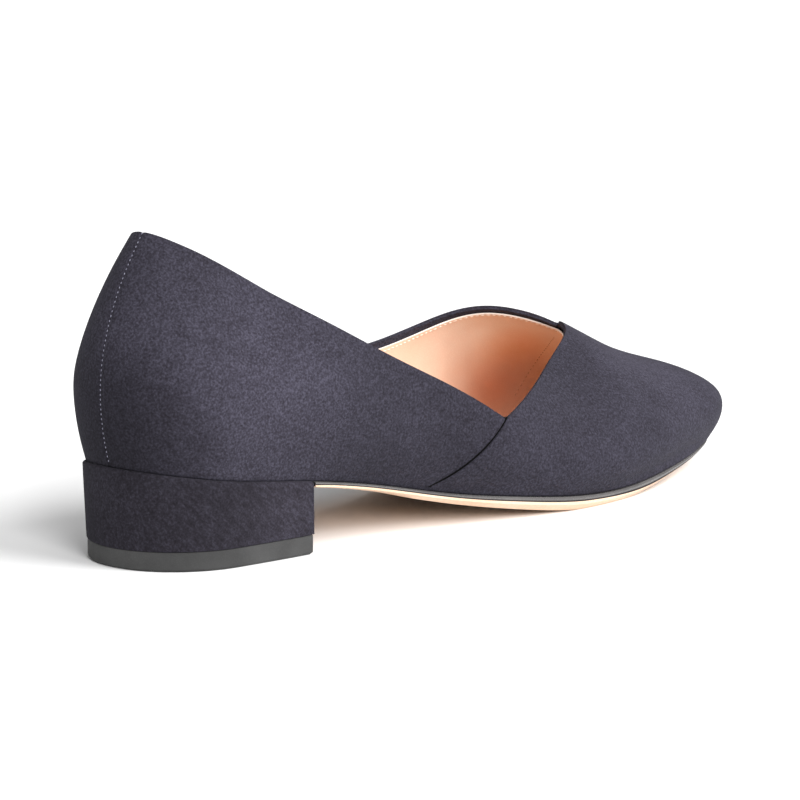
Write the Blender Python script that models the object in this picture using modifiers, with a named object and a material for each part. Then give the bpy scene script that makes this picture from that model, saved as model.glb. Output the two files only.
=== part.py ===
"""Low block heel pump with a squared toe, right shoe, in suede with a leather sole.

Lengths are in millimetres until a mesh is made. While a piece is worked out, x runs from the
back of the last to its toe, y is positive on the medial side, and z is the height above the floor.
"""

import bmesh
import bpy
import numpy as np

MM = 0.001

# Driving dimensions
LAST_LENGTH = 244.5
BALL_WIDTH = 77.5
INSTEP_HEIGHT = 50.0
HEEL_HEIGHT = 28.0
BACK_HEIGHT = 64.5
SEAM_GAP = 0.3

# Upper: one wall, thicker by the lap where the vamp lies over the quarter
QUARTER_WALL = 1.6
VAMP_WALL = 2.5
LASTING_MARGIN = 7.0
LAP_EDGE = 0.7
LAP_RISE = 12.0
LATERAL_SEAM_FOOT = 97.5
MEDIAL_SEAM_FOOT = 212.0
TOE_SHARE_OF_VAMP_EDGE = 0.70
SEAM_SWEEP = 0.25

# Back curve of the heel and front curve of the toe, seen from the side
BACK_BULGE_HEIGHT = 49.0
BACK_TOP_LEAN = 17.0
BACK_LEAN_POWER = 1.9
BACK_SEAT_TUCK = 3.6
TOE_TIP_HEIGHT = 17.0
TOE_TOP_ROUND = 13.0
TOE_TOP_POWER = 2.6
TOE_FOOT_ROUND = 2.2
HEEL_ROUND_START = 27.0
HEEL_ROUND_POWER = 2.1
TOE_ROUND_START = 219.0
TOE_ROUND_POWER = 3.3

# Heel, top piece, outsole and insole
BREAST = 52.6
BREAST_LEAN = 1.0
HEEL_PROUD = 0.7
HEEL_TAPER = 0.9
HEEL_EDGE_ROUND = 0.6
TOP_PIECE_HEIGHT = 5.3
TOP_PIECE_INSET = 0.3
TOP_PIECE_BEVEL = 0.7
SOLE_PROUD = 0.6
SOLE_TOE_TUCK = 1.8
SOLE_TUCK_START = 185.0
SOLE_BEVEL = 2.4
SOLE_EDGE_ROUND = 0.4
SOLE_EDGE_SHARE = 0.52
SOLE_EDGE_TOP_SHARE = 0.88
INSOLE_THICKNESS = 2.2
INSOLE_CLEARANCE = 0.5
INSOLE_EDGE_ROUND = 0.5
INSOLE_HEEL_START = 0.1

# Core line of the last: rays from it lay the collar and the wall on the last's surface
CORE_FROM = 45.0
CORE_TO = 208.0
CORE_RIDGE_SHARE = 0.5
RAY_REACH = 3.0

# Mesh density
STATIONS_LATERAL_QUARTER = 24
STATIONS_LATERAL_VAMP = 32
STATIONS_MEDIAL_VAMP = 12
STATIONS_MEDIAL_QUARTER = 42
WALL_LEVELS = 15
LEVEL_POWER = 1.35
BACK_CROWDING = 1.35
OUTLINE_HALF_STATIONS = 40
EDGE_SAMPLES = 400
CURVE_SAMPLES_PER_ROW = 40
RAY_SAMPLES = 80
BISECTIONS = 40

# Sections of the last. Along is a share of the length. Lateral, medial, their tucks and ridge_y
# are shares of the ball width: how far the widest line lies from the axis, how far in the
# feather edge lies from it, and where the ridge runs. Floor and sole are heights in millimetres
# of the last's bottom and the sole's thickness under it, wide is the widest line's height above
# that bottom, and ridge a share of the instep height. Full_ says how round each shoulder is.
SECTION_COLUMNS = (
    "along", "lateral", "medial", "tuck_lateral", "tuck_medial", "ridge_y",
    "floor", "sole", "wide", "ridge", "full_lateral", "full_medial",
)
SECTIONS = (
    (0.00, 0.330, 0.330, 0.032, 0.032, 0.000, 29.6, 2.0, 20.0, 2.04, 0.10, 0.10),
    (0.11, 0.343, 0.343, 0.032, 0.032, 0.000, 25.3, 2.0, 22.0, 2.02, 0.12, 0.12),
    (0.22, 0.371, 0.365, 0.045, 0.052, 0.013, 22.0, 2.0, 20.5, 1.90, 0.30, 0.30),
    (0.34, 0.387, 0.374, 0.071, 0.103, 0.039, 16.7, 2.3, 19.0, 1.68, 0.50, 0.50),
    (0.44, 0.419, 0.394, 0.071, 0.110, 0.077, 11.5, 2.8, 17.5, 1.48, 0.44, 0.62),
    (0.54, 0.465, 0.439, 0.052, 0.077, 0.103, 8.0, 3.6, 13.5, 1.28, 0.32, 0.68),
    (0.63, 0.490, 0.484, 0.045, 0.052, 0.129, 5.8, 4.0, 9.0, 1.14, 0.26, 0.68),
    (0.72, 0.458, 0.516, 0.045, 0.045, 0.129, 5.8, 4.0, 8.7, 1.000, 0.33, 0.66),
    (0.82, 0.368, 0.465, 0.039, 0.039, 0.103, 7.9, 3.6, 8.6, 0.745, 0.47, 0.60),
    (0.91, 0.265, 0.348, 0.032, 0.032, 0.065, 9.7, 2.6, 8.7, 0.598, 0.55, 0.60),
    (1.00, 0.168, 0.240, 0.026, 0.026, 0.035, 11.4, 1.9, 8.6, 0.465, 0.60, 0.60),
)

# The collar of the quarter, from the low point of the lateral side back round the heel and
# forward on the medial side to the throat, then the free edge of the vamp from the low point
# to the throat. Each row aims at a place that is then laid on the last.
COLLAR_COLUMNS = ("x", "y", "z")
QUARTER_COLLAR = (
    (121.6, -33.4, 30.6),
    (105.0, -30.5, 40.4),
    (83.5, -28.0, 51.2),
    (50.0, -21.5, 71.4),
    (26.0, -13.5, 88.8),
    (16.0, -7.0, 92.4),
    (13.5, 0.0, 93.0),
    (16.0, 7.0, 91.4),
    (26.0, 13.5, 86.0),
    (52.0, 20.5, 72.0),
    (83.5, 26.5, 55.2),
    (99.0, 28.6, 47.2),
    (115.0, 30.3, 43.4),
    (136.0, 32.1, 42.9),
    (150.0, 31.5, 45.0),
    (164.0, 26.6, 47.4),
    (173.5, 18.0, 51.1),
    (179.5, 10.5, 51.8),
    (182.0, 2.3, 45.9),
)
VAMP_EDGE = (
    (121.6, -33.4, 30.6),
    (134.7, -29.6, 35.2),
    (150.0, -21.3, 38.9),
    (165.1, -12.9, 42.6),
    (176.0, -5.5, 45.1),
    (182.0, 2.3, 45.9),
)


def spline(knots, values):
    """A function through the knots, with continuous curvature and straight ends."""
    knots = np.asarray(knots, float)
    values = np.asarray(values, float)
    gaps = np.diff(knots)
    count = len(knots)
    system = np.eye(count)
    right = np.zeros(count)
    for i in range(1, count - 1):
        system[i, i - 1 : i + 2] = gaps[i - 1], 2 * (gaps[i - 1] + gaps[i]), gaps[i]
        rise_after = (values[i + 1] - values[i]) / gaps[i]
        rise_before = (values[i] - values[i - 1]) / gaps[i - 1]
        right[i] = 6 * (rise_after - rise_before)
    bends = np.linalg.solve(system, right)

    def at(place):
        place = np.clip(place, knots[0], knots[-1])
        i = np.clip(np.searchsorted(knots, place) - 1, 0, count - 2)
        done = place - knots[i]
        left = knots[i + 1] - place
        gap = gaps[i]
        curved = (bends[i] * left**3 + bends[i + 1] * done**3) / (6 * gap)
        start = (values[i] / gap - bends[i] * gap / 6) * left
        end = (values[i + 1] / gap - bends[i + 1] * gap / 6) * done
        return curved + start + end

    return at


def section_functions():
    """One function of x for each column of the section table, in millimetres."""
    rows = np.array(SECTIONS, float)
    scales = dict.fromkeys(("lateral", "medial", "tuck_lateral", "tuck_medial", "ridge_y"), BALL_WIDTH)
    scales["ridge"] = INSTEP_HEIGHT
    along = rows[:, 0] * LAST_LENGTH
    return {
        name: spline(along, rows[:, i] * scales.get(name, 1.0))
        for i, name in enumerate(SECTION_COLUMNS)
        if name != "along"
    }


LAST = section_functions()


def back_curve(z):
    """x of the back of the last at height z."""
    above = np.maximum(z - BACK_BULGE_HEIGHT, 0) / (HEEL_HEIGHT + BACK_HEIGHT - BACK_BULGE_HEIGHT)
    below = np.maximum(BACK_BULGE_HEIGHT - z, 0) / (BACK_BULGE_HEIGHT - HEEL_HEIGHT)
    return BACK_TOP_LEAN * above**BACK_LEAN_POWER + BACK_SEAT_TUCK * below**2


def toe_curve(x, z):
    """x of the front of the last at height z, for the section at x."""
    above = np.clip((z - TOE_TIP_HEIGHT) / (LAST["ridge"](x) - TOE_TIP_HEIGHT), 0, 1)
    below = np.clip((TOE_TIP_HEIGHT - z) / (TOE_TIP_HEIGHT - LAST["floor"](x)), 0, 1)
    return LAST_LENGTH - TOE_TOP_ROUND * above**TOE_TOP_POWER - TOE_FOOT_ROUND * below**2


def end_rounding(x, z):
    """How much of its half width a section keeps where the heel and the toe close."""
    heel_end = np.maximum(HEEL_ROUND_START - back_curve(z), 1.0)
    toe_end = np.maximum(toe_curve(x, z) - TOE_ROUND_START, 1.0)
    into_heel = np.clip((HEEL_ROUND_START - x) / heel_end, 0, 1)
    into_toe = np.clip((x - TOE_ROUND_START) / toe_end, 0, 1)
    heel = (1 - into_heel**HEEL_ROUND_POWER) ** (1 / HEEL_ROUND_POWER)
    toe = (1 - into_toe**TOE_ROUND_POWER) ** (1 / TOE_ROUND_POWER)
    return heel * toe


def shoulder(share, full):
    """Width left at this share of the rise from widest line to ridge: a curve with two handles."""
    low = np.zeros_like(share)
    high = np.ones_like(share)
    for _ in range(BISECTIONS):
        t = (low + high) / 2
        rise = 3 * t * (1 - t) ** 2 * full + 3 * t**2 * (1 - t) + t**3
        under = rise < share
        low = np.where(under, t, low)
        high = np.where(under, high, t)
    t = (low + high) / 2
    return (1 - t) ** 3 + 3 * t * (1 - t) ** 2 + 3 * t**2 * (1 - t) * full


def wall_y(x, z, side):
    """y of the last's wall, lateral where side is -1 and medial where it is 1."""
    lateral = side < 0
    widest = side * np.where(lateral, LAST["lateral"](x), LAST["medial"](x))
    tuck = np.where(lateral, LAST["tuck_lateral"](x), LAST["tuck_medial"](x))
    full = np.where(lateral, LAST["full_lateral"](x), LAST["full_medial"](x))
    floor = LAST["floor"](x)
    wide_z = floor + LAST["wide"](x)
    ridge_y = LAST["ridge_y"](x)
    up = np.clip((z - wide_z) / (LAST["ridge"](x) - wide_z), 0, 1)
    down = np.clip((wide_z - z) / (wide_z - floor), 0, 1)
    above = ridge_y + (widest - ridge_y) * shoulder(up, full)
    below = widest - side * tuck * down**2
    wall = np.where(z > wide_z, above, below)
    return ridge_y + (wall - ridge_y) * end_rounding(x, z)


def inside_last(points):
    """True for each point that lies in the last."""
    x, y, z = points.T
    side = np.where(y < LAST["ridge_y"](x), -1.0, 1.0)
    back = np.minimum(back_curve(z), HEEL_ROUND_START)
    front = np.maximum(toe_curve(x, z), TOE_ROUND_START)
    in_length = (x > back) & (x < front)
    in_height = (z > LAST["floor"](x)) & (z < LAST["ridge"](x))
    in_width = side * (y - wall_y(x, z, side)) < 0
    return in_length & in_height & in_width


def core_point(x):
    """A point well inside the last, from which every nearby point of its surface is seen."""
    x = np.clip(x, CORE_FROM, CORE_TO)
    return np.stack([x, LAST["ridge_y"](x) * CORE_RIDGE_SHARE, LAST["floor"](x) + LAST["wide"](x)], -1)


def on_last(cores, aims):
    """Where the rays from the cores through the aims leave the last."""
    near = np.zeros(len(aims))
    far = np.full(len(aims), RAY_REACH)
    for _ in range(BISECTIONS):
        middle = (near + far) / 2
        inside = inside_last(cores + (aims - cores) * middle[:, None])
        near = np.where(inside, middle, near)
        far = np.where(inside, far, middle)
    return cores + (aims - cores) * near[:, None]


def even_points(points, shares):
    """Points at these shares of a polyline's length."""
    steps = np.linalg.norm(np.diff(points, axis=0), axis=1)
    walked = np.concatenate([[0], np.cumsum(steps)])
    places = np.asarray(shares) * walked[-1]
    return np.stack([np.interp(places, walked, points[:, i]) for i in range(3)], -1)


def curve_through(rows):
    """A dense smooth line through the rows, laid on the last."""
    rows = np.array(rows, float)
    steps = np.linalg.norm(np.diff(rows, axis=0), axis=1)
    walked = np.concatenate([[0], np.cumsum(steps)])
    places = np.linspace(0, walked[-1], CURVE_SAMPLES_PER_ROW * len(rows))
    aims = np.stack([spline(walked, rows[:, i])(places) for i in range(len(COLLAR_COLUMNS))], -1)
    return on_last(core_point(aims[:, 0]), aims)


def feather_side(side, x_from, x_to):
    """The last's bottom edge on one side, dense, between two x values. The ends may be its tips."""
    turn = np.linspace(0, np.pi, EDGE_SAMPLES)
    x = x_from + (x_to - x_from) * (1 - np.cos(turn)) / 2
    z = LAST["floor"](x)
    y = wall_y(x, z, np.full_like(x, side))
    return np.stack([x, y, z], -1)


def feather_ends():
    """x of the heel and toe tips of the bottom edge."""
    heel = 0.0
    toe = LAST_LENGTH
    for _ in range(BISECTIONS):
        heel = back_curve(LAST["floor"](heel))
        toe = toe_curve(toe, LAST["floor"](toe))
    return float(heel), float(toe)


HEEL_TIP, TOE_TIP = feather_ends()


def length_of(line):
    return np.linalg.norm(np.diff(line, axis=0), axis=1).sum()


def stations():
    """Foot and collar points of the lines up the upper, how much each bows back, and the vamp's marks.

    They go round the shoe from the back seam over the lateral side, the toe and the medial side.
    Two lines that lie close together bound each lap of the vamp over the quarter.
    """
    quarter = curve_through(QUARTER_COLLAR)
    vamp = curve_through(VAMP_EDGE)
    back = int(np.argmax(quarter[:, 2]))
    toe = int(TOE_SHARE_OF_VAMP_EDGE * len(vamp))
    lateral_quarter = (feather_side(-1.0, HEEL_TIP, LATERAL_SEAM_FOOT), quarter[back::-1])
    lateral_vamp = (feather_side(-1.0, LATERAL_SEAM_FOOT, TOE_TIP), vamp[: toe + 1])
    medial_vamp = (feather_side(1.0, TOE_TIP, MEDIAL_SEAM_FOOT), vamp[toe:])
    medial_quarter = (feather_side(1.0, MEDIAL_SEAM_FOOT, HEEL_TIP), quarter[: back - 1 : -1])
    sectors = (
        (lateral_quarter, STATIONS_LATERAL_QUARTER + 1, True, False, False),
        (lateral_vamp, STATIONS_LATERAL_VAMP, False, True, False),
        (medial_vamp, STATIONS_MEDIAL_VAMP + 1, True, False, True),
        (medial_quarter, STATIONS_MEDIAL_QUARTER, False, False, False),
    )
    ends = ([], [])
    covered = []
    bows = []
    for lines, count, closed, starts_on_lap, ends_on_lap in sectors:
        for line, found in zip(lines, ends):
            lap = LAP_EDGE / length_of(line)
            shares = np.linspace(starts_on_lap * lap, 1 - ends_on_lap * lap, count, endpoint=closed)
            if lines is lateral_quarter:
                shares = shares**BACK_CROWDING
            elif lines is medial_quarter:
                shares = 1 - (1 - shares) ** BACK_CROWDING
            found.append(even_points(line, shares))
        covered += [starts_on_lap or ends_on_lap] * count
        if lines is lateral_quarter:
            bows.append(shares**3)
        elif lines is lateral_vamp:
            bows.append((1 - shares) ** 3)
        else:
            bows.append(np.zeros(count))
    return np.concatenate(ends[0]), np.concatenate(ends[1]), np.concatenate(bows), np.array(covered)


def upper_levels(feet, tops, bows):
    """Points of the upper's inner face by level: the lasting margin, the feather edge, the wall."""
    shares = np.linspace(0, 1, RAY_SAMPLES)[:, None]
    foot_cores = core_point(feet[:, 0])
    top_cores = core_point(tops[:, 0])
    wall = np.empty((WALL_LEVELS, len(feet), 3))
    for i in range(len(feet)):
        aims = feet[i] + (tops[i] - feet[i]) * shares
        bowed = shares[:, 0] + SEAM_SWEEP * bows[i] * shares[:, 0] * (1 - shares[:, 0])
        aims[:, 0] = feet[i, 0] + (tops[i, 0] - feet[i, 0]) * bowed
        cores = foot_cores[i] + (top_cores[i] - foot_cores[i]) * shares
        line = on_last(cores, aims)
        line[0] = feet[i]
        line[-1] = tops[i]
        wall[:, i] = even_points(line, np.linspace(0, 1, WALL_LEVELS) ** LEVEL_POWER)
    inward = foot_cores - feet
    inward[:, 2] = 0
    inward /= np.linalg.norm(inward, axis=1)[:, None]
    margin = feet + inward * LASTING_MARGIN
    margin[:, 2] = LAST["floor"](margin[:, 0])
    return np.concatenate([margin[None], wall])


def ring_of(line, offset, end_x=None):
    """A plan outline moved outwards by the offset. Its two ends may be set to one x."""
    along = np.gradient(line[:, :2], axis=0)
    along /= np.linalg.norm(along, axis=1)[:, None]
    ring = line.copy()
    ring[:, 0] += along[:, 1] * offset
    ring[:, 1] -= along[:, 0] * offset
    if end_x is not None:
        ring[[0, -1], 0] = end_x
    return ring


def outline(first_side, from_x, tip_x, half_count):
    """The last's bottom edge from one side round a tip to the other, evenly stepped on each side."""
    shares = np.linspace(0, 1, half_count + 1)
    first = even_points(feather_side(first_side, from_x, tip_x), shares)
    second = even_points(feather_side(-first_side, from_x, tip_x), shares)
    return np.concatenate([first, second[-2::-1]])


def new_object(name, bm, materials):
    mesh = bpy.data.meshes.new(name)
    bm.to_mesh(mesh)
    bm.free()
    for material in materials:
        mesh.materials.append(material)
    part = bpy.data.objects.new(name, mesh)
    PARTS.objects.link(part)
    return part


def loft(name, rings, material):
    """A solid through rings that run anticlockwise from the lowest up, closed by strips across."""
    bm = bmesh.new()
    rows = [[bm.verts.new(point * MM) for point in ring] for ring in rings]
    count = len(rings[0])
    for low, high in zip(rows, rows[1:]):
        for k in range(count):
            after = (k + 1) % count
            bm.faces.new((low[k], low[after], high[after], high[k]))
    for row, turned in ((rows[0], True), (rows[-1], False)):
        for k in range(count // 2):
            corners = [row[k], row[k + 1], row[-2 - k], row[-1 - k]]
            at_tip = corners[1] == corners[2]
            face = corners[:2] + corners[3:] if at_tip else corners
            bm.faces.new(face[::-1] if turned else face)
    return new_object(name, bm, [material])


def material_of(name, colour, roughness):
    material = bpy.data.materials.new(name)
    material.use_nodes = True
    shader = material.node_tree.nodes["Principled BSDF"]
    shader.inputs["Base Color"].default_value = (*colour, 1.0)
    shader.inputs["Roughness"].default_value = roughness
    shader.inputs["Metallic"].default_value = 0.0
    return material


def make_upper(suede, lining):
    feet, tops, bows, covered = stations()
    levels = upper_levels(feet, tops, bows)
    rows, columns = levels.shape[:2]
    climbed = np.cumsum(np.linalg.norm(np.diff(levels[1:], axis=0), axis=2), axis=0)
    climbed = np.concatenate([np.zeros((2, columns)), climbed])
    rise = np.clip(climbed / LAP_RISE, 0, 1)
    thin = QUARTER_WALL / VAMP_WALL
    weights = thin + (1 - thin) * covered * rise**2 * (3 - 2 * rise)
    bm = bmesh.new()
    bmesh.ops.create_grid(bm, x_segments=columns, y_segments=rows - 1, size=1.0)
    wall = bm.verts.layers.deform.new()
    for vert in bm.verts:
        station = round((vert.co.x + 1) / 2 * columns) % columns
        level = round((vert.co.y + 1) / 2 * (rows - 1))
        vert[wall][0] = weights[level, station]
        vert.co = levels[level, station] * MM
    bmesh.ops.remove_doubles(bm, verts=bm.verts, dist=1e-7)
    upper = new_object("upper", bm, [lining, suede])
    upper.vertex_groups.new(name="wall")
    shell = upper.modifiers.new("wall", "SOLIDIFY")
    shell.thickness = VAMP_WALL * MM
    shell.offset = 1.0
    shell.vertex_group = "wall"
    shell.use_even_offset = True
    shell.material_offset = 1
    shell.material_offset_rim = 1
    return upper


def under_upper(x):
    """Height of what lies against the underside of the upper."""
    return LAST["floor"](x) - QUARTER_WALL - SEAM_GAP


def make_heel(suede):
    line = outline(1.0, BREAST, HEEL_TIP, OUTLINE_HALF_STATIONS // 2)
    low_z = TOP_PIECE_HEIGHT + SEAM_GAP
    proud = QUARTER_WALL + HEEL_PROUD
    rings = []
    for share in (0.0, 0.5, 1.0):
        ring = ring_of(line, proud - HEEL_TAPER * (1 - share), BREAST + BREAST_LEAN * (1 - share))
        high_z = under_upper(ring[:, 0]) - HEEL_EDGE_ROUND
        ring[:, 2] = low_z + (high_z - low_z) * share
        rings.append(ring)
    top = ring_of(line, proud - HEEL_EDGE_ROUND, BREAST)
    top[:, 2] = under_upper(top[:, 0])
    rings.append(top)
    return loft("heel_block", rings, suede)


def make_top_piece(rubber):
    line = outline(1.0, BREAST, HEEL_TIP, OUTLINE_HALF_STATIONS // 2)
    proud = QUARTER_WALL + HEEL_PROUD - HEEL_TAPER - TOP_PIECE_INSET
    breast = BREAST + BREAST_LEAN - TOP_PIECE_INSET
    steps = ((0.0, TOP_PIECE_BEVEL), (TOP_PIECE_BEVEL, 0.0), (TOP_PIECE_HEIGHT, 0.0))
    rings = []
    for height, inset in steps:
        ring = ring_of(line, proud - inset, breast - inset)
        ring[:, 2] = height
        rings.append(ring)
    return loft("heel_top_piece", rings, rubber)


def make_sole(leather):
    start = BREAST + 2 * SEAM_GAP
    line = outline(-1.0, start, TOE_TIP, OUTLINE_HALF_STATIONS)
    tuck = np.clip((line[:, 0] - SOLE_TUCK_START) / (TOE_TIP - SOLE_TUCK_START), 0, 1)
    proud = QUARTER_WALL + SOLE_PROUD - SOLE_TOE_TUCK * tuck**2
    steps = (
        (0.0, SOLE_BEVEL),
        (1 - SOLE_EDGE_SHARE, 0.0),
        (SOLE_EDGE_TOP_SHARE, 0.0),
        (1.0, SOLE_EDGE_ROUND),
    )
    rings = []
    for share, inset in steps:
        ring = ring_of(line, proud - inset, start)
        high_z = under_upper(ring[:, 0])
        low_z = np.maximum(high_z - LAST["sole"](ring[:, 0]), 0.0)
        ring[:, 2] = low_z + (high_z - low_z) * share
        rings.append(ring)
    return loft("outsole", rings, leather)


def make_insole(leather):
    line = outline(-1.0, HEEL_TIP + INSOLE_HEEL_START, TOE_TIP, OUTLINE_HALF_STATIONS)
    top = SEAM_GAP + INSOLE_THICKNESS
    steps = ((SEAM_GAP, 0.0), (top - INSOLE_EDGE_ROUND, 0.0), (top, INSOLE_EDGE_ROUND))
    rings = []
    for lift, inset in steps:
        ring = ring_of(line, -INSOLE_CLEARANCE - inset)
        ring[:, 2] = LAST["floor"](ring[:, 0]) + lift
        rings.append(ring)
    return loft("insole", rings, leather)


def set_on_floor(pieces):
    """Moves the assembly so that the origin is the middle of its box on the floor."""
    bpy.context.view_layer.update()
    graph = bpy.context.evaluated_depsgraph_get()
    corners = np.array([corner for piece in pieces for corner in piece.evaluated_get(graph).bound_box])
    low = corners.min(axis=0)
    high = corners.max(axis=0)
    shift = (-(low[0] + high[0]) / 2, -(low[1] + high[1]) / 2, -low[2])
    assembly = bpy.data.objects.new("pump", None)
    PARTS.objects.link(assembly)
    assembly.location = shift
    for piece in pieces:
        piece.parent = assembly


for old in list(bpy.data.objects):
    bpy.data.objects.remove(old)

PARTS = bpy.data.collections.new("low_heel_pump")
bpy.context.scene.collection.children.link(PARTS)

SUEDE = material_of("suede", (0.030, 0.030, 0.052), 0.95)
LINING = material_of("lining_leather", (0.62, 0.40, 0.28), 0.55)
SOLE_LEATHER = material_of("sole_leather", (0.50, 0.33, 0.22), 0.5)
RUBBER = material_of("rubber", (0.035, 0.035, 0.038), 0.6)

set_on_floor(
    [
        make_upper(SUEDE, LINING),
        make_insole(LINING),
        make_sole(SOLE_LEATHER),
        make_heel(SUEDE),
        make_top_piece(RUBBER),
    ]
)
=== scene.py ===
import math

import bmesh
import bpy
import numpy as np
from mathutils import Matrix, Vector
from mathutils.bvhtree import BVHTree
from mathutils.geometry import interpolate_bezier


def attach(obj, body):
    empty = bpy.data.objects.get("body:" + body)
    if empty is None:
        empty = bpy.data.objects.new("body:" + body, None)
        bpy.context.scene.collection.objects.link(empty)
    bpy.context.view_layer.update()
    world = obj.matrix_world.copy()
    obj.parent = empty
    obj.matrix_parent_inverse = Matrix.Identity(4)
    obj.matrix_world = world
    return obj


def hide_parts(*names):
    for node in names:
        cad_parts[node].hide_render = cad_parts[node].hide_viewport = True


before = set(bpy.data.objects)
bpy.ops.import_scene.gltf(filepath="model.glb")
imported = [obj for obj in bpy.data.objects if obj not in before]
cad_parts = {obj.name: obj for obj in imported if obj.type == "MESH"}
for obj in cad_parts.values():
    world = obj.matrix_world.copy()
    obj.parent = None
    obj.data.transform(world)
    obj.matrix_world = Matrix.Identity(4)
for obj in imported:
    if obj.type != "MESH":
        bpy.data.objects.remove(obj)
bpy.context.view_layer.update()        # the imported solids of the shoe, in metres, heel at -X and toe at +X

mm = 0.001
weldDistance = 0.002 * mm
placeDigits = 7        # vertices that agree to this many digits stand at one place
creaseEnd = 0.1        # how far along its rise a crease starts and ends


# meshes

def weldedCopy(nodeName):
    bm = bmesh.new()
    bm.from_mesh(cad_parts[nodeName].data)
    bmesh.ops.remove_doubles(bm, verts=bm.verts, dist=weldDistance)
    return bm


def fourSidedCopy(nodeName):
    bm = weldedCopy(nodeName)
    bmesh.ops.join_triangles(
        bm, faces=bm.faces, angle_face_threshold=math.pi, angle_shape_threshold=math.pi
    )
    return bm


def roundEdges(bm, sharpest, radius):
    # the corners become arcs, so the smoothing that follows keeps them
    edges = [e for e in bm.edges if e.is_manifold and e.calc_face_angle() > sharpest]
    bmesh.ops.bevel(
        bm, geom=edges, offset=radius, segments=2, profile=0.5, affect="EDGES",
        clamp_overlap=True, material=-1,
    )


def addPiece(name, bm, materials, levels=0, replaced=()):
    mesh = bpy.data.meshes.new(name)
    bm.to_mesh(mesh)
    bm.free()
    for material in materials:
        mesh.materials.append(material)
    piece = bpy.data.objects.new(name, mesh)
    bpy.context.scene.collection.objects.link(piece)
    if levels:
        smooth = piece.modifiers.new("smooth", "SUBSURF")
        smooth.levels = levels
        smooth.render_levels = levels
    mesh.shade_smooth()
    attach(piece, "root")
    if replaced:
        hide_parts(*replaced)
    return piece


def applyModifiers(piece):
    bpy.context.view_layer.update()
    graph = bpy.context.evaluated_depsgraph_get()
    mesh = bpy.data.meshes.new_from_object(piece.evaluated_get(graph))
    piece.modifiers.clear()
    old = piece.data
    piece.data = mesh
    bpy.data.meshes.remove(old)
    mesh.name = piece.name
    mesh.shade_smooth()


def surfaceOf(piece):
    bpy.context.view_layer.update()
    return BVHTree.FromObject(piece, bpy.context.evaluated_depsgraph_get())


def pressCreases(piece, creases, surface):
    # each crease is a soft trough (or a ridge, where the depth is negative) along a line on the shoe
    mesh = piece.data
    places = np.empty(len(mesh.vertices) * 3)
    mesh.vertices.foreach_get("co", places)
    places = places.reshape(-1, 3)
    moved = places.copy()
    for crease in creases:
        start = np.array(crease["start"]) * mm
        end = np.array(crease["end"]) * mm
        along = end - start
        share = np.clip((places - start) @ along / (along @ along), 0, 1)
        apart = np.linalg.norm(places - start - share[:, None] * along, axis=1)
        lengthwise = np.sin(np.pi * (creaseEnd + (1 - 2 * creaseEnd) * share))
        fade = np.exp(-((apart / (crease["width"] * mm)) ** 2)) * lengthwise
        outwards = surface.find_nearest(Vector((start + end) / 2))[1]
        moved -= np.outer(fade * crease["depth"] * mm, np.array(outwards))
    mesh.vertices.foreach_set("co", moved.ravel())
    mesh.update()


# materials

def newMaterial(name):
    material = bpy.data.materials.new(name)
    material.use_nodes = True
    tree = material.node_tree
    return material, tree, tree.nodes["Principled BSDF"]


def newGroup(name, inputs, outputs):
    group = bpy.data.node_groups.new(name, "ShaderNodeTree")
    for label, kind, value in inputs:
        socket = group.interface.new_socket(label, in_out="INPUT", socket_type=kind)
        if value is not None:
            socket.default_value = value
    for label in outputs:
        group.interface.new_socket(label, in_out="OUTPUT", socket_type="NodeSocketFloat")
    return group, group.nodes.new("NodeGroupInput"), group.nodes.new("NodeGroupOutput")


def addNode(tree, kind, settings=None, **values):
    made = tree.nodes.new(kind)
    for label, value in (settings or {}).items():
        setattr(made, label, value)
    for label, value in values.items():
        socket = made.inputs[label.replace("_", " ")]
        if isinstance(value, bpy.types.NodeSocket):
            tree.links.new(value, socket)
        else:
            socket.default_value = value
    return made


def calc(tree, operation, first, second):
    made = addNode(tree, "ShaderNodeMath", {"operation": operation})
    for socket, value in zip(made.inputs, (first, second)):
        if isinstance(value, bpy.types.NodeSocket):
            tree.links.new(value, socket)
        else:
            socket.default_value = value
    return made.outputs[0]


def stretched(tree, value, low, high):
    made = addNode(tree, "ShaderNodeMapRange", {"clamp": True}, Value=value)
    made.inputs["From Min"].default_value = low
    made.inputs["From Max"].default_value = high
    return made.outputs[0]


def ramp(tree, value, stops):
    made = addNode(tree, "ShaderNodeValToRGB", Fac=value)
    made.color_ramp.elements[0].position = stops[0][0]
    made.color_ramp.elements[1].position = stops[-1][0]
    for stop in stops[1:-1]:
        made.color_ramp.elements.new(stop[0])
    for element, (place, colour) in zip(made.color_ramp.elements, stops):
        element.color = (*colour, 1.0)
    return made.outputs["Color"]


napMix = {
    "cloudRange": (0.30, 0.70), "fineRange": (0.25, 0.75), "strokeStretch": 4.0,
    "cloudShare": 0.12,        # of the shade; strokes and fibres take the rest
    "fibreHeight": 0.7, "strokeHeight": 0.3,
    "stops": (0.2, 0.5, 0.8),        # where the deep, the body's and the brushed colour stand
}


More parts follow.
